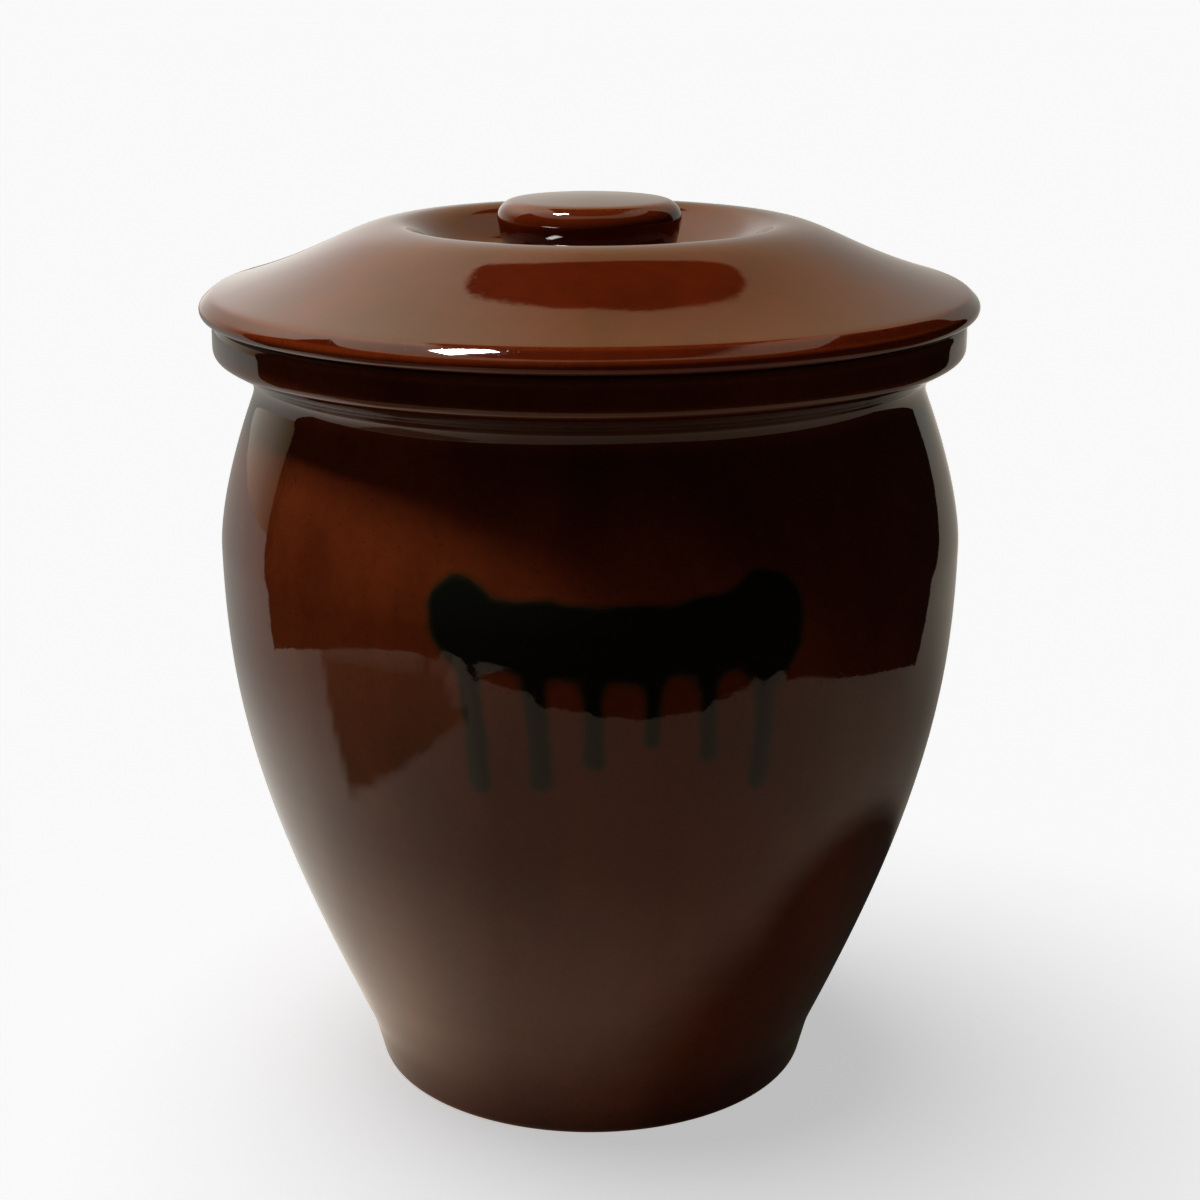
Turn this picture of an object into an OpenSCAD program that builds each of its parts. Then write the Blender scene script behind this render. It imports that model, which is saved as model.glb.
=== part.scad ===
// Glazed stoneware pickling crock with a loose lid and two half-round weights.
// Millimetres, +Z up. The origin is the centre of the foot's underside, on the crock's axis.

/* [Crock] */
// Diameter of the foot
foot_d = 117; // [110:1:122]
// Height of the nearly upright band of the foot
foot_h = 12; // [9:1:16]
// Diameter of the belly at its widest
belly_d = 192.2; // [184:0.2:198]
// Height of the widest part of the belly
belly_h = 146; // [140:1:150]
// Diameter of the neck, just below the collar
neck_d = 173; // [170:0.5:176]
// Height of the neck
neck_h = 184.3; // [182:0.1:186]
// Thickness of the wall
wall = 7; // [6:0.5:8]
// Thickness of the floor
floor_t = 8; // [6:0.5:11]

/* [Collar] */
// Diameter of the collar round the mouth
collar_d = 192; // [189:0.5:195]
// Height of the collar's flat top, which the lid rests on
rim_h = 205; // [203:0.5:208]
// Slope of the collar's underside, in degrees from level
underside = 30; // [24:1:34]

/* [Lid] */
// Diameter of the lid's rounded rim
lid_d = 198; // [197:0.5:202]
// Thickness of the lid's rim
rim_t = 6; // [5.8:0.1:6.8]
// Diameter of the crest of the ring round the well
crest_d = 100; // [96:1:104]
// Height of the crest above the collar's top
crest_rise = 22; // [20:0.5:24]
// Depth of the well below the crest
well_depth = 9.5; // [7:0.5:10.5]
// Thickness of the lid between its two faces
lid_t = 6.5; // [5.5:0.5:7]
// Depth to which the locating ring hangs into the mouth
ring_drop = 8; // [6:0.5:10]
// Gap between the locating ring and the mouth, all round
ring_gap = 1.8; // [1:0.1:3]
// Diameter of the knob
knob_d = 47; // [42:1:50]
// Height of the knob above the crest
knob_rise = 5.5; // [4:0.5:9]

/* [Weights] */
// Diameter of the two weights together
weight_d = 140; // [128:1:146]
// Thickness of a weight
weight_t = 15; // [10:1:20]
// Width of the slot between the two weights
weight_slot = 3; // [2:0.5:6]
// Diameter of the finger hole through each weight
finger_d = 22; // [18:1:26]

/* [Hidden] */
$fn = 96;

curve_steps = 24;      // straight steps along each long curve of an outline
arc_steps = 8;         // straight steps round each rounded edge

glaze = [0.24, 0.07, 0.03];
fired_clay = [0.62, 0.47, 0.36];

// Foot
foot_r = foot_d / 2;
foot_edge = 2;         // rounding of the foot's outer lower edge
foot_flare = 2.6;      // how much wider the band is at its top
foot_ring_w = 9;       // width of the ring that stands on the ground
foot_recess = 1.6;     // depth of the recess inside that ring
recess_slope = 2;      // width of the slope round the recess

// Body: a slope is the change of radius for each millimetre of height
belly_r = belly_d / 2;
neck_r = neck_d / 2;
foot_slope = 0.45;     // slope where the body leaves the foot's band
foot_pull = 66;        // how far up that slope bends the curve
belly_pull = 37.5;     // how far below the belly the side runs upright
belly_turn = 5;        // and how far above it
neck_slope = -0.39;    // slope where the body reaches the neck
neck_pull = 20.4;      // how far below the neck that slope bends the curve
floor_corner = 12;     // rounding between the floor and the wall inside
throat = 7;            // how far the throat's curve reaches below and above the neck
throat_pull = 6;       // how far the throat holds the slopes at its two ends

// Collar
collar_r = collar_d / 2;
mouth_r = neck_r - wall;
crease = 6;            // hollow rounding between the neck and the collar's underside
collar_low_edge = 2.5; // rounding where the underside turns upright
collar_top_edge = 3;   // rounding of the outer top edge
mouth_edge = 3;        // rounding of the inner top edge

// Lid
lid_r = lid_d / 2;
rim_low_edge = 2;      // rounding of the rim's lower edge
bevel_angle = 46;      // angle above level that the bevel round the rim faces
bevel_w = 2.8;         // width of that bevel
bevel_low = 1.4;       // rounding between the rim's side and the bevel
bevel_top = 2;         // rounding between the bevel and the flank
flank_slope = 0.28;    // rise of the flank for each millimetre inwards, at the rim
flank_pull = 27.5;     // how far in from the rim that slope bends the flank
crest_pull = 10.8;     // how far out from the crest the flank runs level
crest_turn = 8;        // how far in from the crest the well's side runs level
well_pull = 9;         // how far out from its floor the well's side runs level
well_r = 30;           // radius of the well's flat floor
ring_t = 6;            // thickness of the locating ring
ring_edge = 1.5;       // rounding of the ring's lower edges
ring_r = mouth_r - ring_gap;
ring_low = rim_h - ring_drop;
crest_r = crest_d / 2;
crest_h = rim_h + crest_rise;
well_h = crest_h - well_depth;

// Knob
knob_r = knob_d / 2;
knob_h = crest_h + knob_rise;
knob_lean = 12;        // degrees by which the knob's side leans out
knob_edge = 4.6;       // rounding of the knob's top edge
knob_root = 2;         // hollow rounding between the knob and the well
knob_dome = 0.7;       // rise of the knob's top towards its middle

// Weights
weight_r = weight_d / 2;
weight_edge = 2.5;     // rounding of the upper and lower edges
touch_gap = 0.3;       // space between a weight and the wall that it leans on
finger_x = 0.45 * weight_r;

// One point of a cubic Bezier curve
function bezier(a, b, c, d, t) =
    pow(1 - t, 3) * a + 3 * t * pow(1 - t, 2) * b + 3 * t * t * (1 - t) * c + pow(t, 3) * d;

// A curve that leaves a along the step u and arrives at d along the step v
function curve(a, u, d, v, n = curve_steps) =
    [for (i = [0:n]) bezier(a, a + u, d - v, d, i / n)];

// A unit step in the direction of angle a
function step(a) = [cos(a), sin(a)];

// An arc about c, from angle a0 to angle a1
function arc(c, r, a0, a1, n = arc_steps) =
    [for (i = [0:n]) c + r * step(a0 + (a1 - a0) * i / n)];

// A path moved sideways by t, to its left as it runs
function beside(path, t) = [
    for (i = [0:len(path) - 1])
    let (d = path[min(i + 1, len(path) - 1)] - path[max(i - 1, 0)])
    path[i] + t * [-d[1], d[0]] / norm(d)
];

function reversed(path) = [for (i = [len(path) - 1:-1:0]) path[i]];

// Two paths joined where the first ends and the second starts
function joined(a, b) = concat(a, [for (i = [1:len(b) - 1]) b[i]]);

module revolve(outline) {
    rotate_extrude() polygon(outline);
}

// Crock: the outside from the top of the foot's band to the neck
foot_top = [foot_r + foot_flare, foot_h];
belly = [belly_r, belly_h];
neck = [neck_r, neck_h];
outside = joined(
    curve(foot_top, foot_pull * [foot_slope, 1], belly, [0, belly_pull]),
    curve(belly, [0, belly_turn], neck, neck_pull * [neck_slope, 1])
);

// Crock: the inside, from the rounding at the floor up to the throat inside the neck
wall_lean = atan(foot_slope);
inside_low = floor_t + floor_corner * (1 - sin(wall_lean));
throat_low = neck_h - throat;
wall_path = beside(outside, wall);
function inside_r(z) = lookup(z, [for (p = wall_path) [p[1], p[0]]]);
corner_top = [inside_r(inside_low), inside_low];
throat_start = [inside_r(throat_low), throat_low];
inside = concat(
    [corner_top],
    [for (p = wall_path) if (p[1] > inside_low + 1 && p[1] < throat_low - 1) p],
    curve(throat_start, throat_pull * [neck_slope, 1], [mouth_r, neck_h + throat],
        [0, throat_pull], arc_steps)
);

// Collar: the crease starts along the neck's slope and ends along the underside's
crease_start = 180 + atan(-neck_slope);
crease_end = 90 + underside;
crease_c = neck - crease * step(crease_start);
under_in = crease_c + crease * step(crease_end);
low_edge_start = underside - 90;
under_out_r = collar_r - collar_low_edge + collar_low_edge * cos(low_edge_start);
under_out_h = under_in[1] + (under_out_r - under_in[0]) * tan(underside);
low_edge_c = [collar_r - collar_low_edge, under_out_h - collar_low_edge * sin(low_edge_start)];
collar = concat(
    arc(crease_c, crease, crease_start, crease_end),
    arc(low_edge_c, collar_low_edge, low_edge_start, 0),
    arc([collar_r - collar_top_edge, rim_h - collar_top_edge], collar_top_edge, 0, 90),
    arc([mouth_r + mouth_edge, rim_h - mouth_edge], mouth_edge, 90, 180)
);

module crock() {
    color(glaze)
        revolve(concat(
            [
                [0, foot_recess],
                [foot_r - foot_ring_w - recess_slope, foot_recess],
                [foot_r - foot_ring_w, 0]
            ],
            arc([foot_r - foot_edge, foot_edge], foot_edge, -90, 0),
            outside,
            collar,
            reversed(inside),
            arc(corner_top - floor_corner * step(-wall_lean), floor_corner, -wall_lean, -90),
            [[0, floor_t]]
        ));
}

// Lid: its upper face from the rim inwards, down into the well and over the knob
flank_face = 90 - atan(flank_slope);
bevel_run = bevel_low * step(bevel_angle) + bevel_w * step(bevel_angle + 90);
bevel_turn = bevel_top * (step(flank_face) - step(bevel_angle));
bevel_low_c = [lid_r - bevel_low, rim_h + rim_t - bevel_run[1] - bevel_turn[1]];
bevel_top_c = bevel_low_c + bevel_run - bevel_top * step(bevel_angle);
flank_start = bevel_top_c + bevel_top * step(flank_face);
crest = [crest_r, crest_h];
flank = curve(flank_start, flank_pull * [-1, flank_slope], crest, [-crest_pull, 0]);
well = curve(crest, [-crest_turn, 0], [well_r, well_h], [-well_pull, 0]);
top = joined(flank, well);
knob_root_h = well_h + knob_root;
knob_side_h = knob_h - knob_edge - knob_root_h;
knob_root_r = knob_r - knob_side_h * tan(knob_lean);
knob = concat(
    arc([knob_root_r + knob_root, knob_root_h], knob_root, 270, 180 + knob_lean / 2),
    arc([knob_r - knob_edge, knob_h - knob_edge], knob_edge, -knob_lean, 90),
    [for (i = [1:arc_steps]) let (t = i / arc_steps)
        [(knob_r - knob_edge) * (1 - t), knob_h + knob_dome * (1 - pow(1 - t, 2))]]
);

// Lid: the hollow under the flank and the well, inside the locating ring
hollow_r = ring_r - ring_t;
hollow = [for (p = beside(top, lid_t)) if (p[0] < hollow_r) p];

module lid() {
    color(glaze)
        revolve(concat(
            [[0, well_h - lid_t]],
            reversed(hollow),
            [[hollow_r, hollow[0][1]]],
            arc([hollow_r + ring_edge, ring_low + ring_edge], ring_edge, 180, 270),
            arc([ring_r - ring_edge, ring_low + ring_edge], ring_edge, 270, 360),
            [[ring_r, rim_h]],
            arc([lid_r - rim_low_edge, rim_h + rim_low_edge], rim_low_edge, 270, 360),
            arc(bevel_low_c, bevel_low, 0, bevel_angle),
            joined(arc(bevel_top_c, bevel_top, bevel_angle, flank_face), top),
            knob
        ));
}

// Weights: the lowest height at which the wall lets them in
function seat(z) = inside_r(z + weight_edge / 2) > weight_r + touch_gap ? z : seat(z + 0.1);
weight_h = seat(inside_low);

// One half-round weight, on the side of x that side points to
module weight(side) {
    color(fired_clay)
        difference() {
            intersection() {
                translate([0, 0, weight_h])
                    revolve(concat(
                        [[0, 0]],
                        arc([weight_r - weight_edge, weight_edge], weight_edge, -90, 0),
                        arc([weight_r - weight_edge, weight_t - weight_edge], weight_edge, 0, 90),
                        [[0, weight_t]]
                    ));
                translate([side * (weight_r + weight_slot / 2), 0, weight_h + weight_t / 2])
                    cube([2 * weight_r, 3 * weight_r, 2 * weight_t], center = true);
            }
            translate([side * finger_x, 0, weight_h - 1])
                cylinder(d = finger_d, h = weight_t + 2);
        }
}

crock();
lid();
weight(-1);  // weight_left
weight(1);  // weight_right
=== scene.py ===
import math

import bpy
import numpy as np
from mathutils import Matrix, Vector, noise


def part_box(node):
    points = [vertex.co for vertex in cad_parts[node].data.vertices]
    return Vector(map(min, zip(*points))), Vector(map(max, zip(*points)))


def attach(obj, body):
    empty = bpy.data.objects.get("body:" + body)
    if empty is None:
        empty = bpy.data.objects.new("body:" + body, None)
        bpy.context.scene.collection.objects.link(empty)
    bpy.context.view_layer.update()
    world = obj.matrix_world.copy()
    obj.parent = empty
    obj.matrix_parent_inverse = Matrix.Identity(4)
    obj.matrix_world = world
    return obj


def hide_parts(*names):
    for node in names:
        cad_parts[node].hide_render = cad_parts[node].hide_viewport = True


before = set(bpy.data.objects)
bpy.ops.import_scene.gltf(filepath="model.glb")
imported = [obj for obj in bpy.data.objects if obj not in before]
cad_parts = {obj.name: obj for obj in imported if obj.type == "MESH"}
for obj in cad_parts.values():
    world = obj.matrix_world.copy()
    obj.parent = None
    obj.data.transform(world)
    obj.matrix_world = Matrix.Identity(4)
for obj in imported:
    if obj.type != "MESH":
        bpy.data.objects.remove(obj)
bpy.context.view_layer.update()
scene = bpy.context.scene

MM = 0.001


# ---------------------------------------------------------------- outlines

def node_outline(node):
    """The section of a round CAD node at y = 0, x >= 0, in order from its lower end on the axis to its
    upper one."""
    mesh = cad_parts[node].data
    on_plane = {}
    for v in mesh.vertices:
        if abs(v.co.y) < 1e-6 and v.co.x > -1e-6:
            on_plane[v.index] = (round(v.co.x, 6), round(v.co.z, 6))
    near = {}
    for e in mesh.edges:
        a, b = (on_plane.get(i) for i in e.vertices)
        if a and b and a != b:
            near.setdefault(a, set()).add(b)
            near.setdefault(b, set()).add(a)
    start = min((p for p in near if len(near[p]) == 1), key=lambda p: p[1])
    path, before = [start], None
    while True:
        ahead = [p for p in near[path[-1]] if p != before]
        if not ahead:
            break
        before = path[-1]
        path.append(ahead[0])
    for end in (0, -1):
        if path[end][0] > 1e-6:
            path.insert(0 if end == 0 else len(path), (0.0, path[end][1]))
    return np.array(path)


SHARP = 10  # degrees; the outline has a corner where it turns more than this at a point
SPAN_STEPS = 12  # points on each span of the spline


def soft_outline(points, corner=1.0 * MM, spread=0.6 * MM, step=0.2 * MM):
    """A smooth curve along the outline, with its corners eased as a coat of glaze eases them."""
    # a sharp corner gets a point on each side, so that only its last millimetre is rounded
    kept = [points[0]]
    for a, b, c in zip(points, points[1:], points[2:]):
        u, v = b - a, c - b
        lu, lv = np.hypot(*u), np.hypot(*v)
        turn = math.degrees(math.acos(np.clip(u @ v / (lu * lv), -1, 1)))
        if turn > SHARP:
            kept += [b - u / lu * min(corner, 0.4 * lu), b, b + v / lv * min(corner, 0.4 * lv)]
        else:
            kept.append(b)
    kept.append(points[-1])
    p = np.array(kept)
    # a cubic B-spline over these points, mirrored past both ends so that it meets the axis level
    mirror = np.array([-1.0, 1.0])
    p = np.vstack([p[2] * mirror, p[1] * mirror, p, p[-2] * mirror, p[-3] * mirror])
    t = np.linspace(0, 1, SPAN_STEPS, endpoint=False)[:, None]
    weights = [(1 - t) ** 3, 3 * t ** 3 - 6 * t ** 2 + 4, -3 * t ** 3 + 3 * t ** 2 + 3 * t + 1, t ** 3]
    curve = np.vstack([
        sum(w * q for w, q in zip(weights, p[i:i + 4])) / 6 for i in range(len(p) - 3)
    ])
    curve = curve[curve[:, 0] >= -1e-9]
    # points at even steps, then a Gaussian blur, also mirrored at the axis
    s = np.concatenate([[0], np.cumsum(np.hypot(*np.diff(curve, axis=0).T))])
    count = int(s[-1] / step)
    even = np.linspace(0, s[-1], count + 1)
    r, z = np.interp(even, s, curve[:, 0]), np.interp(even, s, curve[:, 1])
    reach = int(4 * spread / step)
    kernel = np.exp(-0.5 * (np.arange(-reach, reach + 1) * step / spread) ** 2)
    kernel /= kernel.sum()
    r = np.convolve(np.concatenate([-r[reach:0:-1], r, -r[-2:-reach - 2:-1]]), kernel, "valid")
    z = np.convolve(np.concatenate([z[reach:0:-1], z, z[-2:-reach - 2:-1]]), kernel, "valid")
    r[0] = r[-1] = 0.0
    return r, z


def rings(r, z, widest, turn=6.0):
    """Places along the curve, as indices, no further apart than widest says at each point and with no
    more than turn degrees of bend between them."""
    ds = np.hypot(np.diff(r), np.diff(z))
    heading = np.unwrap(np.arctan2(np.diff(z), np.diff(r)))
    bend = np.abs(np.diff(heading, append=heading[-1]))
    cost = np.concatenate([[0], np.cumsum(ds / widest[:-1] + np.degrees(bend) / turn)])
    count = int(math.ceil(cost[-1]))
    return np.interp(np.linspace(0, cost[-1], count + 1), cost, np.arange(len(r)))


# ---------------------------------------------------------------- turning

def smoothstep(x, low, high):
    """0 up to low, 1 from high on, with a soft rise between them."""
    t = np.clip((x - low) / (high - low), 0, 1)
    return t * t * (3 - 2 * t)


def turned(name, node, angles, widest, relief, masks):
    """A mesh turned from the node's outline. relief gives the height to add along the normal, and masks
    gives the values to store at each point. Both are told the angle (0 at the front, + to the right), r,
    z and the normal's r and z, and masks is told the bend of the outline too."""
    r, z = soft_outline(node_outline(node))
    tr, tz = np.gradient(r), np.gradient(z)
    length = np.hypot(tr, tz)
    nr, nz = tz / length, -tr / length
    heading = np.unwrap(np.arctan2(tz, tr))
    # radians a millimetre, + where the glaze runs over an edge
    bend = np.gradient(heading) / (length / MM)
    at = rings(r, z, widest(r, z))
    index = np.arange(len(r))
    r, z, nr, nz, bend = (np.interp(at, index, v) for v in (r, z, nr, nz, bend))
    grid_a, grid_r = np.meshgrid(angles, r[1:-1])
    grid_z, grid_nr, grid_nz, grid_bend = (np.meshgrid(angles, v[1:-1])[1] for v in (z, nr, nz, bend))
    extra = relief(grid_a, grid_r, grid_z, grid_nr, grid_nz)
    pr, pz = grid_r + extra * grid_nr, grid_z + extra * grid_nz
    px, py = pr * np.sin(grid_a), -pr * np.cos(grid_a)
    body = np.stack([px, py, pz], axis=-1).reshape(-1, 3)
    verts = np.vstack([[0, 0, z[0]], body, [0, 0, z[-1]]])
    n, m = len(r) - 2, len(angles)
    faces = [(0, 1 + (j + 1) % m, 1 + j) for j in range(m)]
    for i in range(n - 1):
        a, b = 1 + i * m, 1 + (i + 1) * m
        faces += [(a + j, a + (j + 1) % m, b + (j + 1) % m, b + j) for j in range(m)]
    top, last = 1 + n * m, 1 + (n - 1) * m
    faces += [(last + j, last + (j + 1) % m, top) for j in range(m)]
    mesh = bpy.data.meshes.new(name)
    mesh.from_pydata(verts.tolist(), [], faces)
    mesh.polygons.foreach_set("use_smooth", [True] * len(mesh.polygons))
    for key, grid in masks(grid_a, grid_r, grid_z, grid_nr, grid_nz, grid_bend).items():
        values = np.concatenate([[grid[0].mean()], grid.ravel(), [grid[-1].mean()]]).astype(np.float32)
        mesh.attributes.new(key, "FLOAT", "POINT").data.foreach_set("value", values)
    mesh.validate()
    mesh.update()
    obj = bpy.data.objects.new(name, mesh)
    scene.collection.objects.link(obj)
    return obj


def wobble(a, r, z, size, seed):
    """A gentle hand-made unevenness between -1 and 1, over about size metres."""
    flat = np.stack([r * np.sin(a), -r * np.cos(a), z], axis=-1).reshape(-1, 3) / size + seed
    return np.array([noise.noise(Vector(p)) for p in flat]).reshape(a.shape)


# ---------------------------------------------------------------- poured glaze

CROCK_R = 95.0  # mm, for turning an angle at the front into a distance along the wall
# degrees, height in mm, half width in mm
BAND = [(-17, 146, 8.0), (-6, 145, 7.5), (6, 144, 8.0), (16, 145, 7.5), (25, 146, 8.0)]
BLOBS = [(-18, 151, 7.0), (24.5, 150, 8.5), (25, 140, 7.0)]
BLOB_LENGTH = 0.1  # mm, short enough for a blob to be round
RUNS = [  # degrees at the top, degrees at the bottom, height of the bottom end, half width
    (-17, -15.6, 107, 2.0),
    (-8, -6.8, 108, 2.2),
    (0, 0.6, 114, 1.8),
    (8.5, 8.5, 119, 1.5),
    (16, 16.6, 115, 1.6),
    (25, 24.5, 106, 1.9),
]
RUN_TOP = 142  # mm
POUR_EASE = 1.5  # mm over which one shape of the pour flows into the next


def capsule(u, h, u1, h1, u2, h2, half):
    """Signed distance from (u, h) to a round-ended stroke between two points, negative inside."""
    along = ((u - u1) * (u2 - u1) + (h - h1) * (h2 - h1)) / ((u2 - u1) ** 2 + (h2 - h1) ** 2 + 1e-9)
    along = np.clip(along, 0, 1)
    return np.hypot(u - u1 - along * (u2 - u1), h - h1 - along * (h2 - h1)) - half


def poured(a, r, z):
    """Signed distance in mm to the edge of the dark glaze poured over the front, negative inside."""
    u, h = a * CROCK_R, z / MM
    reach = math.radians(CROCK_R)
    shapes = []
    for (a1, h1, w1), (a2, h2, w2) in zip(BAND, BAND[1:]):
        shapes.append(capsule(u, h, a1 * reach, h1, a2 * reach, h2, (w1 + w2) / 2))
    for a1, h1, w in BLOBS:
        shapes.append(capsule(u, h, a1 * reach, h1, a1 * reach, h1 + BLOB_LENGTH, w))
    for a1, a2, h2, w in RUNS:
        shapes.append(capsule(u, h, a1 * reach, RUN_TOP, a2 * reach, h2 + w, w))
    total = sum(np.exp(-np.clip(s, -12, 40) / POUR_EASE) for s in shapes)
    return -POUR_EASE * np.log(total + 1e-12)


# ---------------------------------------------------------------- crock and lid

OUTSIDE_LENGTH = 0.315  # metres along the outline, from under the foot, over the rim and just into the mouth
# the widest gap between two rings of points
OUTSIDE_STEP, INSIDE_STEP, LID_STEP = 1.3 * MM, 3.0 * MM, 1.6 * MM
RIM_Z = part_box("crock")[1][2]
LID_LOW_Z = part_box("lid")[0][2]
LID_SEAT = [(0.081, 0.082), (0.0935, 0.0945)]  # radii over which the lid's bare seat begins and ends
EDGE_BEND = (0.08, 0.4)  # radians a millimetre over which the glaze thins on an edge
THROWING_PITCH = 6.3  # mm between two rings left by the thrower's fingers
THROWING_HEIGHT = 0.004  # mm
COAT_HEIGHT = 0.10  # mm that the poured glaze stands proud
# the lower edge of the painted shade over the shoulder and collar, the lid's and collar's shadow, which
# reaches lowest on the side away from the window: degrees round the axis, mm
PAINTED_SHADE_EDGE = [(-180, 150), (-80, 195), (-45, 193), (-20, 186), (12, 172), (38, 132), (120, 112), (180, 150)]


def crock_widest(r, z):
    """The widest gap between rings at each point of the crock's outline."""
    outside = np.cumsum(np.hypot(np.gradient(r), np.gradient(z))) < OUTSIDE_LENGTH
    return np.where(outside, OUTSIDE_STEP, INSIDE_STEP)


def crock_relief(a, r, z, nr, nz):
    """Unevenness by hand, throwing rings and the poured coat, on the outside wall."""
    outside = smoothstep(nr, 0.2, 0.7)
    hand = 0.14 * wobble(a, r, z, 0.075, 3.1) + 0.015 * wobble(a, r, z, 0.025, 7.7)
    throwing = THROWING_HEIGHT * np.sin(z / MM * 2 * math.pi / THROWING_PITCH)
    edge = poured(a, r, z) + 0.4 * wobble(a, r, z, 0.006, 11.0)
    coat = COAT_HEIGHT * smoothstep(-edge, -1.5, 3.0)
    return MM * outside * (hand + throwing + coat)


def crock_masks(a, r, z, nr, nz, bend):
    """Where the glaze is poured or thin, where shade is painted over the shoulder and collar (the lid's and
    collar's shadow, lowest on the side away from the window), and where clay is bare: the foot's underside
    and the seat."""
    turn = (np.degrees(a) + 180) % 360 - 180
    # painted shade: the lid's and collar's shadow on the shoulder, reaching lowest on the side away from the
    # window
    shade_edge = np.interp(turn, [t for t, _ in PAINTED_SHADE_EDGE], [h for _, h in PAINTED_SHADE_EDGE]) + 9 * wobble(a, r, z, 0.04, 31.0)
    edge = poured(a, r, z) + 0.5 * wobble(a, r, z, 0.006, 11.0) + 0.4 * wobble(a, r, z, 0.0025, 5.0)
    band = smoothstep(-edge, -2.6, 2.2) * smoothstep(nr, 0.2, 0.5)
    foot = smoothstep(-z / MM, -1.6, -0.6)
    underside = smoothstep(-nz, 0.5, 0.9) * smoothstep(-z / MM, -3.0, -2.2)
    seat = smoothstep(nz, 0.97, 0.995) * smoothstep(z, RIM_Z - 1 * MM, RIM_Z - 0.3 * MM)
    return {
        "poured": band,
        "painted_shade": smoothstep(z / MM - shade_edge, -11, 14) * smoothstep(nr, -0.2, 0.2),
        "thin": smoothstep(bend, *EDGE_BEND),
        "bare": np.clip(np.maximum(np.maximum(foot, underside), seat), 0, 1),
    }


def lid_relief(a, r, z, nr, nz):
    """Unevenness by hand on the upper side."""
    upper = smoothstep(nz, 0.05, 0.4)
    hand = 0.14 * wobble(a, r, z, 0.06, 21.0) + 0.04 * wobble(a, r, z, 0.02, 5.5)
    return MM * upper * hand * smoothstep(r, 0.0, 0.012)


def lid_masks(a, r, z, nr, nz, bend):
    """As for the crock; clay is bare under the rim and at the end of the locating ring."""
    inner, outer = LID_SEAT
    seat = smoothstep(-nz, 0.97, 0.995) * smoothstep(r, *inner) * smoothstep(-r, -outer[1], -outer[0])
    ring = smoothstep(-nz, 0.9, 0.99) * smoothstep(-z, -(LID_LOW_Z + 1.0 * MM), -(LID_LOW_Z + 0.3 * MM))
    return {
        "poured": np.zeros_like(a),
        "painted_shade": np.zeros_like(a),
        "thin": smoothstep(bend, *EDGE_BEND),
        "bare": np.clip(seat + ring, 0, 1),
    }


def front_heavy(front, fine, coarse):
    """Angles round the axis, from -front to +front degrees in fine steps and the rest in coarse ones."""
    near = np.arange(-front, front, fine)
    far = np.linspace(front, 360 - front, int((360 - 2 * front) / coarse), endpoint=False)
    return np.radians(np.concatenate([near, far]))


def lid_widest(r, z):
    return np.full(len(r), LID_STEP)


crock = turned(
    "crock_glazed", "crock", front_heavy(42, 0.5, 1.8), crock_widest, crock_relief, crock_masks
)
lid = turned("lid_glazed", "lid", front_heavy(0, 1, 1.5), lid_widest, lid_relief, lid_masks)


# ---------------------------------------------------------------- weights

CLAY_VOXEL = 1.3 * MM
CLAY_BUMP = 0.10  # mm, the height of the unevenness
CLAY_SINK = 0.12  # mm that it all lies below the CAD's surface, so that none of it stands proud
CLAY_SPAN = 0.012  # metres across one unevenness


def clay_weight(name, node):
    """The node's shape remeshed and worked over, as pressed clay is."""
    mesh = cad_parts[node].data.copy()
    mesh.materials.clear()
    mesh.name = name
    obj = bpy.data.objects.new(name, mesh)
    scene.collection.objects.link(obj)
    remesh = obj.modifiers.new("even", "REMESH")
    remesh.mode = "VOXEL"
    remesh.voxel_size = CLAY_VOXEL
    smooth = obj.modifiers.new("soft", "SMOOTH")
    smooth.factor = 0.5
    smooth.iterations = 4
    deps = bpy.context.evaluated_depsgraph_get()
    made = bpy.data.meshes.new_from_object(obj.evaluated_get(deps))
    obj.modifiers.clear()
    obj.data = made
    made.name = name
    count = len(made.vertices)
    co = np.zeros(count * 3)
    normal = np.zeros(count * 3)
    made.vertices.foreach_get("co", co)
    made.vertex_normals.foreach_get("vector", normal)
    co, normal = co.reshape(-1, 3), normal.reshape(-1, 3)
    lift = np.array([CLAY_BUMP * noise.noise(Vector(p / CLAY_SPAN)) - CLAY_SINK for p in co])
    co = co + normal * lift[:, None] * MM
    made.vertices.foreach_set("co", co.ravel())
    made.polygons.foreach_set("use_smooth", [True] * len(made.polygons))
    made.update()
    return obj


weights = {side: clay_weight("weight_" + side + "_clay", "weight_" + side) for side in ("left", "right")}


# ---------------------------------------------------------------- materials

def empty_material(name):
    """A material with an output and nothing else: the material, its node tree and the output."""
    mat = bpy.data.materials.new(name)
    mat.use_nodes = True
    tree = mat.node_tree
    tree.nodes.clear()
    return mat, tree, tree.nodes.new("ShaderNodeOutputMaterial")


def material(name):
    """A material with a Principled shader on its surface: the material, its node tree and the shader."""
    mat, tree, out = empty_material(name)
    shader = tree.nodes.new("ShaderNodeBsdfPrincipled")
    tree.links.new(shader.outputs[0], out.inputs["Surface"])
    return mat, tree, shader


def add(tree, kind, inputs=(), **settings):
    """A node with its settings and inputs; an input is a value or another node's output socket."""
    node = tree.nodes.new(kind)
    for key, value in settings.items():
        setattr(node, key, value)
    for key, value in dict(inputs).items():
        if isinstance(value, bpy.types.NodeSocket):
            tree.links.new(value, node.inputs[key])
        else:
            node.inputs[key].default_value = value
    return node


def stored(tree, name):
    """The value stored in the mesh under this name."""
    return add(tree, "ShaderNodeAttribute", attribute_name=name).outputs["Fac"]


def ramp(tree, value, low, high):
    """Black up to low, white from high on, and even between them."""
    node = add(tree, "ShaderNodeValToRGB", {"Fac": value})
    black, white = node.color_ramp.elements
    black.position, white.position = low, high
    return node.outputs["Color"]


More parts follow.
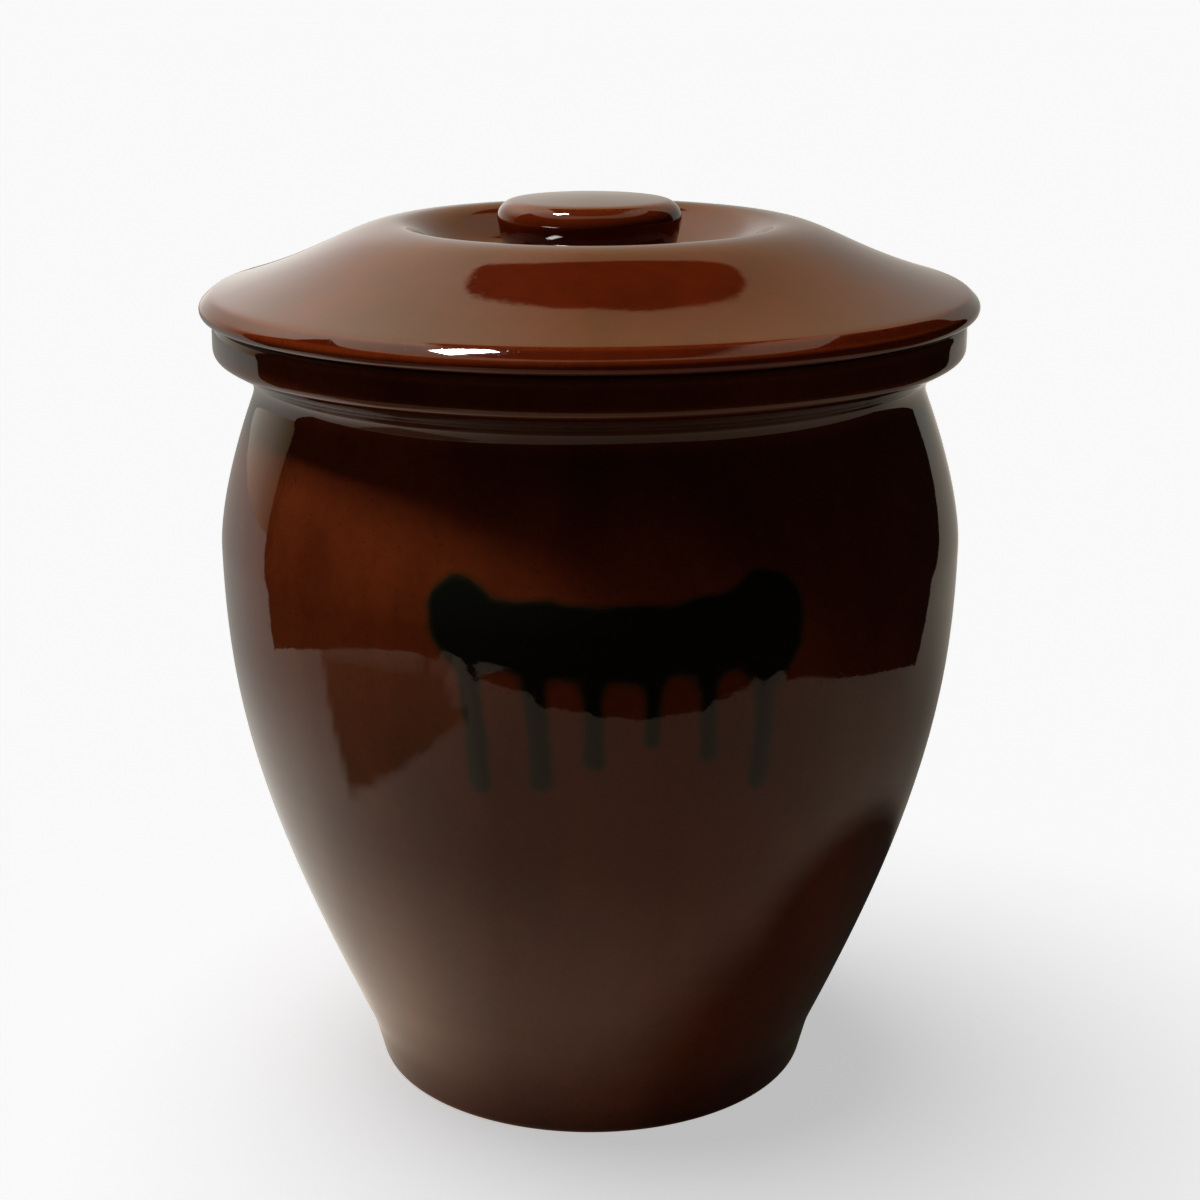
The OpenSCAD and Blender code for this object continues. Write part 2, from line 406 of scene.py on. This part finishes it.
def mix_colour(tree, factor, a, b, blend="MIX"):
    """a where factor is 0, b (or the blend of the two) where it is 1."""
    a, b = ((*c, 1) if isinstance(c, tuple) else c for c in (a, b))
    inputs = {0: factor, 6: a, 7: b}
    return add(tree, "ShaderNodeMix", inputs, data_type="RGBA", blend_type=blend).outputs[2]


def mix_value(tree, factor, a, b):
    return add(tree, "ShaderNodeMix", {0: factor, 2: a, 3: b}, data_type="FLOAT").outputs[0]


def calc(tree, operation, a, b=0.0):
    return add(tree, "ShaderNodeMath", {0: a, 1: b}, operation=operation).outputs[0]


def plus(tree, a, b, times=1.0):
    """a + b * times"""
    return calc(tree, "ADD", a, calc(tree, "MULTIPLY", b, times))


def noise_at(tree, where, scale, detail, rough):
    inputs = {"Vector": where, "Scale": scale, "Detail": detail, "Roughness": rough}
    return add(tree, "ShaderNodeTexNoise", inputs).outputs["Fac"]


def bump(tree, height, distance, **under):
    """A bump of so many metres; Normal= gives the bump that it lies on."""
    inputs = {"Height": height, "Strength": 1.0, "Distance": distance, **under}
    return add(tree, "ShaderNodeBump", inputs).outputs[0]


DEEP = (0.060, 0.0105, 0.0030)
AMBER = (0.125, 0.0235, 0.0060)
RUST = (0.190, 0.046, 0.013)
SPECK = (0.012, 0.004, 0.002)
POURED = (0.0045, 0.0050, 0.0038)
POURED_EDGE = (0.022, 0.015, 0.006)
CLAY = (0.30, 0.185, 0.115)
CLAY_SHADE = (0.8, 0.76, 0.72)  # times CLAY, between its grains
STREAK_STRETCH = 0.22  # scale along Z, which draws the streaks out

# each noise of the glaze: scale, detail, roughness
CLOUD_NOISE = (14, 3, 0.55)
STREAK_NOISE = (75, 3, 0.6)
MOTTLE_NOISE = (420, 2, 0.6)
SPECK_NOISE = (1100, 1, 0.5)
GRIT_NOISE = (1500, 2, 0.7)
GLOSS_NOISE = (30, 3, 0.6)
WAVE_NOISE = (160, 2, 0.5)
PIT_NOISE = (700, 2, 0.6)
# how far each stands up, in metres
WAVE_HEIGHT = 0.000012
PIT_HEIGHT = 0.0000035
GRIT_HEIGHT = 0.00025

GLAZE_ROUGHNESS = 0.015
BARE_ROUGHNESS = 0.82
GLAZE_IOR = 1.5
PAINTED_SHADE_SHARE = 0.42  # share of the colour that the painted shade takes away

# the same for the weights' clay
WEIGHT_CLOUD_NOISE = (35, 4, 0.6)
WEIGHT_GRIT_NOISE = (900, 3, 0.7)
WEIGHT_SPECK_NOISE = (520, 2, 0.5)
WEIGHT_DARK = (0.36, 0.22, 0.135)
WEIGHT_PALE = (0.50, 0.34, 0.225)
WEIGHT_SPECK = (0.16, 0.07, 0.035)
WEIGHT_GRIT = (0.28, 0.17, 0.10)
WEIGHT_GRIT_HEIGHT = 0.0003
WEIGHT_ROUGHNESS = 0.72


def tinted(colour, tint):
    return tuple(c * t for c, t in zip(colour, tint))


def glaze(name, amber, tint):
    """Iron-brown glaze: deep where it pools, amber where it is thin, with dark specks, over bare clay.
    amber raises the share of the lighter colour, and tint multiplies both."""
    mat, tree, shader = material(name)
    where = add(tree, "ShaderNodeTexCoord").outputs["Object"]
    stretch = {"Vector": where, "Scale": (1, 1, STREAK_STRETCH)}
    drawn_out = add(tree, "ShaderNodeMapping", stretch).outputs[0]
    thin, pour, painted_shade, bare = (stored(tree, key) for key in ("thin", "poured", "painted_shade", "bare"))

    # the body of the glaze
    cloud = ramp(tree, noise_at(tree, where, *CLOUD_NOISE), 0.36, 0.66)
    streak = ramp(tree, noise_at(tree, drawn_out, *STREAK_NOISE), 0.40, 0.68)
    mottle = noise_at(tree, where, *MOTTLE_NOISE)
    depth = plus(tree, calc(tree, "MULTIPLY", cloud, 0.55), streak, 0.3)
    depth = plus(tree, depth, calc(tree, "SUBTRACT", mottle, 0.5), 0.5)
    depth = add(tree, "ShaderNodeClamp", {"Value": calc(tree, "MULTIPLY", depth, amber)}).outputs[0]
    colour = mix_colour(tree, depth, tinted(DEEP, tint), tinted(AMBER, tint))

    # rust where it thins on an edge, darker where shade is painted under the lid and collar, and specks
    worn = calc(tree, "MULTIPLY", thin, plus(tree, 0.35, mottle, 0.6))
    colour = mix_colour(tree, worn, colour, tinted(RUST, tint))
    shade = calc(tree, "SUBTRACT", 1.0, calc(tree, "MULTIPLY", painted_shade, PAINTED_SHADE_SHARE))
    grey = add(tree, "ShaderNodeCombineColor", {0: shade, 1: shade, 2: shade}).outputs[0]
    colour = mix_colour(tree, 1.0, colour, grey, "MULTIPLY")
    speck = ramp(tree, noise_at(tree, where, *SPECK_NOISE), 0.66, 0.74)
    colour = mix_colour(tree, calc(tree, "MULTIPLY", speck, 0.4), colour, SPECK)

    # the poured glaze, thinner and browner at its edge, and the bare clay
    dark = mix_colour(tree, ramp(tree, pour, 0.35, 0.85), POURED_EDGE, POURED)
    colour = mix_colour(tree, ramp(tree, pour, 0.12, 0.6), colour, dark)
    grit = noise_at(tree, where, *GRIT_NOISE)
    clay = mix_colour(tree, grit, tinted(CLAY, CLAY_SHADE), CLAY)
    tree.links.new(mix_colour(tree, bare, colour, clay), shader.inputs["Base Color"])

    gloss = plus(tree, GLAZE_ROUGHNESS, noise_at(tree, where, *GLOSS_NOISE), 0.04)
    gloss = plus(tree, gloss, speck, 0.10)
    tree.links.new(mix_value(tree, bare, gloss, BARE_ROUGHNESS), shader.inputs["Roughness"])

    skin = bump(tree, noise_at(tree, where, *WAVE_NOISE), WAVE_HEIGHT)
    skin = bump(tree, noise_at(tree, where, *PIT_NOISE), PIT_HEIGHT, Normal=skin)
    skin = bump(tree, calc(tree, "MULTIPLY", grit, bare), GRIT_HEIGHT, Normal=skin)
    tree.links.new(skin, shader.inputs["Normal"])
    shader.inputs["IOR"].default_value = GLAZE_IOR
    return mat


def fired_clay(name):
    """Bare fired clay, cloudy and gritty, with dark specks."""
    mat, tree, shader = material(name)
    where = add(tree, "ShaderNodeTexCoord").outputs["Object"]
    cloud = noise_at(tree, where, *WEIGHT_CLOUD_NOISE)
    grit = noise_at(tree, where, *WEIGHT_GRIT_NOISE)
    speck = ramp(tree, noise_at(tree, where, *WEIGHT_SPECK_NOISE), 0.64, 0.72)
    colour = mix_colour(tree, cloud, WEIGHT_DARK, WEIGHT_PALE)
    colour = mix_colour(tree, calc(tree, "MULTIPLY", speck, 0.6), colour, WEIGHT_SPECK)
    colour = mix_colour(tree, calc(tree, "MULTIPLY", grit, 0.35), colour, WEIGHT_GRIT)
    tree.links.new(colour, shader.inputs["Base Color"])
    tree.links.new(plus(tree, WEIGHT_ROUGHNESS, grit, 0.2), shader.inputs["Roughness"])
    tree.links.new(bump(tree, grit, WEIGHT_GRIT_HEIGHT), shader.inputs["Normal"])
    return mat


crock.data.materials.append(glaze("crock_glaze", 1.0, (1.0, 1.0, 1.0)))
lid.data.materials.append(glaze("lid_glaze", 1.1, (0.62, 0.37, 0.22)))
clay = fired_clay("weight_clay")
for w in weights.values():
    w.data.materials.append(clay)

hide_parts("crock")
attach(crock, "crock")
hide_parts("lid")
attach(lid, "lid")
for side, w in weights.items():
    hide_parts("weight_" + side)
    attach(w, "weight_" + side)


# ---------------------------------------------------------------- camera

CAMERA_PLACE = (0.0, -0.57, 0.2932)
CAMERA_DOWN = 0.2845  # radians below level
CAMERA_RIGHT = 0.0048  # radians from +Y towards +X
CAMERA_ROLL = 0.0012
CAMERA_LENS = 66.8

camera_data = bpy.data.cameras.new("camera")
camera_data.lens = CAMERA_LENS
camera_data.sensor_width = 36
camera_data.clip_start = 0.01
camera = bpy.data.objects.new("camera", camera_data)
camera.location = CAMERA_PLACE
camera.rotation_euler = (math.pi / 2 - CAMERA_DOWN, CAMERA_ROLL, -CAMERA_RIGHT)
scene.collection.objects.link(camera)
scene.camera = camera


# ---------------------------------------------------------------- stage

def stage_mesh(name, verts, faces, mat):
    mesh = bpy.data.meshes.new(name)
    mesh.from_pydata(verts, [], faces)
    mesh.materials.append(mat)
    obj = bpy.data.objects.new(name, mesh)
    scene.collection.objects.link(obj)
    return obj


def glow(name):
    """A light-giving surface in the colours stored at its points."""
    mat, tree, out = empty_material(name)
    colour = add(tree, "ShaderNodeAttribute", attribute_name="glow").outputs["Color"]
    emit = add(tree, "ShaderNodeEmission", {"Color": colour, "Strength": 1.0})
    tree.links.new(emit.outputs[0], out.inputs["Surface"])
    return mat


GLOW = glow("studio_glow")


def card(name, rows, colour):
    """A card over a grid of points, lit at each point as colour(x, y, z) says, that shows in the glaze
    only."""
    width = len(rows[0])
    points = [p for row in rows for p in row]
    starts = [i * width + j for i in range(len(rows) - 1) for j in range(width - 1)]
    faces = [(k, k + 1, k + 1 + width, k + width) for k in starts]
    obj = stage_mesh(name, points, faces, GLOW)
    values = np.array([(*colour(*p), 1.0) for p in points], np.float32)
    obj.data.attributes.new("glow", "FLOAT_COLOR", "POINT").data.foreach_set("color", values.ravel())
    obj.visible_camera = False
    obj.visible_diffuse = False
    obj.visible_transmission = False
    obj.visible_shadow = False
    return obj


def turn_of(x, y):
    """Degrees round the axis: 0 at the front, + to the right."""
    return math.degrees(math.atan2(x, -y))


def blend(value, stops):
    """Colour at value along a list of (value, colour)."""
    out = []
    for c in range(3):
        out.append(float(np.interp(value, [s[0] for s in stops], [s[1][c] for s in stops])))
    return out


def round_rows(radii, heights, first, last, step):
    """Rows of points round the axis, one for each radius and height, between two turns in degrees."""
    rows = []
    for radius, z in zip(radii, heights):
        count = int(abs(last - first) / step) + 1
        turns = np.radians(np.linspace(first, last, count))
        rows.append([(radius * math.sin(t), -radius * math.cos(t), z) for t in turns])
    return rows


FLOOR_HALF = 12.0
BACKDROP_R = 9.0
BACKDROP_GREY = (0.95, 0.95, 0.95)
ROOM_R = 3.0

floor_mat, _, floor_shader = material("studio_floor")
floor_shader.inputs["Base Color"].default_value = (0.86, 0.86, 0.86, 1)
floor_shader.inputs["Roughness"].default_value = 0.9
floor_shader.inputs["Specular IOR Level"].default_value = 0.0
floor_shader.inputs["Emission Color"].default_value = (1, 1, 1, 1)
floor_shader.inputs["Emission Strength"].default_value = 0.5
floor = stage_mesh(
    "studio_floor",
    [(x * FLOOR_HALF, y * FLOOR_HALF, 0) for x, y in ((-1, -1), (1, -1), (1, 1), (-1, 1))],
    [(0, 1, 2, 3)],
    floor_mat,
)
floor.visible_glossy = False
floor.visible_diffuse = False

world = bpy.data.worlds.new("studio")
scene.world = world
world.use_nodes = True
background = world.node_tree.nodes["Background"]
background.inputs["Color"].default_value = (0.95, 0.97, 1.0, 1)
background.inputs["Strength"].default_value = 0.035

scene.view_settings.view_transform = "Standard"
scene.view_settings.look = "None"

# the backdrop, which only the camera sees
rises = np.radians(range(-3, 90, 3))
backdrop = card(
    "backdrop",
    round_rows(BACKDROP_R * np.cos(rises), BACKDROP_R * np.sin(rises), 0, 360, 6),
    lambda x, y, z: BACKDROP_GREY,
)
backdrop.visible_camera = True
backdrop.visible_glossy = False

# the room behind, beside and above, as the glaze reflects it
SKY_TURNS = [  # degrees round the axis, colour low down, colour overhead
    (-180, (0.60, 0.56, 0.49), (0.72, 0.50, 0.24)),
    (-165, (1.15, 1.10, 1.02), (1.10, 0.84, 0.55)),
    (-150, (0.82, 0.77, 0.68), (1.48, 1.17, 0.86)),
    (-125, (0.62, 0.50, 0.38), (2.00, 1.65, 1.30)),
    (-114, (0.36, 0.24, 0.13), (2.00, 1.65, 1.30)),
    (-105, (0.22, 0.12, 0.05), (1.80, 1.45, 1.10)),
    (-60, (0.10, 0.08, 0.06), (0.9, 0.75, 0.5)),
    (60, (0.10, 0.08, 0.06), (0.7, 0.6, 0.4)),
    (115, (0.38, 0.35, 0.32), (0.95, 0.80, 0.58)),
    (150, (0.34, 0.33, 0.29), (0.60, 0.43, 0.25)),
    (180, (0.60, 0.56, 0.49), (0.72, 0.50, 0.24)),
]
LOW_TO_HIGH = (15, 45)  # degrees of elevation over which the one colour turns into the other
DARK_ABOVE = [  # degrees round the axis, elevation above which the room is dark
    (-180, 55.2), (-171, 55), (-166, 53.5), (-161, 51.8), (-156, 54), (-148, 61), (-120, 68),
    (120, 68), (148, 58), (154, 48), (159, 48.5), (167, 52.5), (180, 55.2),
]
DARK_EDGE = 0.4  # degrees either side over which the darkness begins
DARK_SHARE = 0.97


def sky(x, y, z):
    """The room's glow."""
    turn = turn_of(x, y)
    elevation = math.degrees(math.atan2(z, math.hypot(x, y)))
    lift = float(smoothstep(elevation, *LOW_TO_HIGH))
    low = blend(turn, [(t, a) for t, a, _ in SKY_TURNS])
    high = blend(turn, [(t, b) for t, _, b in SKY_TURNS])
    edge = float(np.interp(turn, [t for t, _ in DARK_ABOVE], [e for _, e in DARK_ABOVE]))
    lit = 1 - DARK_SHARE * float(smoothstep(elevation, edge - DARK_EDGE, edge + DARK_EDGE))
    return [(a + (b - a) * lift) * lit for a, b in zip(low, high)]


# closer together over the elevations where the darkness begins
rises = np.radians(np.concatenate([np.arange(-3, 45, 3), np.arange(45, 60, 0.4), np.arange(60, 91, 2)]))
card("room_card", round_rows(ROOM_R * np.cos(rises), ROOM_R * np.sin(rises), -180, 180, 2), sky)

TABLE_TURNS = [  # degrees round the axis, colour of the table that the glaze reflects
    (-180, (0.42, 0.38, 0.33)),
    (-130, (0.85, 0.81, 0.74)),
    (-95, (1.00, 0.88, 0.74)),
    (-60, (0.72, 0.56, 0.43)),
    (-25, (0.37, 0.28, 0.20)),
    (20, (0.28, 0.20, 0.14)),
    (75, (0.34, 0.27, 0.20)),
    (120, (0.165, 0.145, 0.115)),
    (150, (0.18, 0.16, 0.135)),
    (180, (0.42, 0.38, 0.33)),
]
SHADE_TURN = 106  # degrees, away from the window
SHADE_LEFT = 0.10  # share of the table's light that is left in the shadow
SHADE = [(0.0, 0.056), (0.025, 0.078), (0.056, 0.095), (0.088, 0.098)]  # metres from the axis, radius
# a brown tray on the table
TRAY = [(-0.495, -0.070), (-0.341, -0.366), (-0.185, -0.274), (-0.195, -0.063)]
TRAY_COLOUR = (0.20, 0.14, 0.08)
TABLE_Z = -0.0005  # just under the floor, which the glaze doesn't reflect
FRONT_TURN = -25  # degrees, the middle of the part of the table in front


def inside_depth(x, y, corners):
    """How far a point lies inside a convex outline whose corners run anticlockwise."""
    depths = []
    for (ax, ay), (bx, by) in zip(corners, corners[1:] + corners[:1]):
        depths.append(((bx - ax) * (y - ay) - (by - ay) * (x - ax)) / math.hypot(bx - ax, by - ay))
    return min(depths)


def table_top(x, y, z):
    """The table's glow, with the crock's shadow on the side away from the window."""
    t = math.radians(SHADE_TURN)
    gap = min(math.hypot(x - d * math.sin(t), y + d * math.cos(t)) - radius for d, radius in SHADE)
    lit = SHADE_LEFT + (1 - SHADE_LEFT) * float(smoothstep(gap, -0.015, 0.020))
    turn = turn_of(x, y)
    reach = math.hypot(x, y)
    # brighter in front near the crock, but with a painted contact shadow right under it, then brighter far
    # off on the right and dimmer far off on the left
    front = float(smoothstep(-abs(turn - FRONT_TURN), -70, -30))
    near, under = (float(smoothstep(-reach, *span)) for span in ((-0.17, -0.09), (-0.085, -0.058)))
    lit *= 1 + front * (0.6 * near - 0.6 * under)
    lit *= 1 + 1.1 * float(smoothstep(reach, 0.26, 0.50) * smoothstep(turn, 95, 120))
    lit *= 1 - 0.4 * float(smoothstep(reach, 0.18, 0.40) * smoothstep(-turn, 40, 90))
    tray = float(smoothstep(inside_depth(x, y, TRAY), -0.004, 0.006))
    return [c * lit * (1 - tray) + b * tray for c, b in zip(blend(turn, TABLE_TURNS), TRAY_COLOUR)]


radii = np.concatenate([np.arange(0.04, 0.4, 0.012), np.geomspace(0.41, ROOM_R, 12)])
table = card("table_card", round_rows(radii, [TABLE_Z] * len(radii), -180, 180, 2), table_top)
table.visible_diffuse = True

SURROUND = [  # degrees round the axis, radius in metres of the dark surround
    (-104, 0.41), (-80, 0.45), (-50, 0.48), (-30, 0.43), (-18, 0.39), (0, 0.35),
    (13, 0.335), (26, 0.345), (40, 0.385), (60, 0.395), (90, 0.375), (133, 0.36),
]
SURROUND_END = [(-0.002, 110), (0.045, 114), (0.167, 124), (0.62, 125)]  # height, degrees where it ends
SURROUND_COLOUR = (0.010, 0.006, 0.004)


def surround_row(z, end):
    """Points along the surround at one height, as far round as end."""
    turns = np.linspace(SURROUND[0][0], end, 100)
    reaches = np.interp(turns, [t for t, _ in SURROUND], [d for _, d in SURROUND])
    return [(d * math.sin(t), -d * math.cos(t), z) for t, d in zip(np.radians(turns), reaches)]


surround = [surround_row(z, end) for z, end in SURROUND_END]
card("dark_surround", surround, lambda x, y, z: SURROUND_COLOUR)


# ---------------------------------------------------------------- lights

def aimed_area(name, place, target, width, height, power, colour):
    """A rectangular light at place, facing target."""
    data = bpy.data.lights.new(name, "AREA")
    data.shape = "RECTANGLE"
    data.size, data.size_y = width, height
    data.energy = power
    data.color = colour
    obj = bpy.data.objects.new(name, data)
    obj.location = place
    obj.rotation_euler = (Vector(target) - Vector(place)).to_track_quat("-Z", "Y").to_euler()
    scene.collection.objects.link(obj)
    return obj


def from_axis(azimuth, elevation, distance, height=0.15):
    """The point so far from a point on the axis, in this direction (degrees; 0 at the front, + to the
    right)."""
    a, e = math.radians(azimuth), math.radians(elevation)
    return (
        distance * math.sin(a) * math.cos(e),
        -distance * math.cos(a) * math.cos(e),
        height + distance * math.sin(e),
    )


window = aimed_area(
    "window", from_axis(azimuth=-77, elevation=69, distance=1.3), target=(0, 0, 0.15),
    width=0.14, height=0.24, power=26.0, colour=(1.0, 0.97, 0.92),
)
back_fill = aimed_area(
    "back_fill", from_axis(azimuth=180, elevation=14, distance=1.6), target=(0, 0, 0.12),
    width=1.0, height=0.5, power=9.0, colour=(1.0, 0.96, 0.9),
)
back_fill.visible_glossy = False
back_fill.visible_camera = False

sun_data = bpy.data.lights.new("floor_light", "SUN")
sun_data.energy = 1.6
sun_data.angle = math.radians(50)  # wide, so that the shadow on the floor is soft
floor_light = bpy.data.objects.new("floor_light", sun_data)
floor_light.rotation_euler = (math.radians(-8), math.radians(-14), 0)
scene.collection.objects.link(floor_light)


def light_only(name, lights, receivers):
    """Links the lights to the receivers, so that they light nothing else."""
    group = bpy.data.collections.new(name)
    for obj in receivers:
        group.objects.link(obj)
    for obj in lights:
        obj.light_linking.receiver_collection = group


light_only("lit_floor", [floor_light], [floor])
light_only("lit_pieces", [window, back_fill], [crock, lid, *weights.values()])
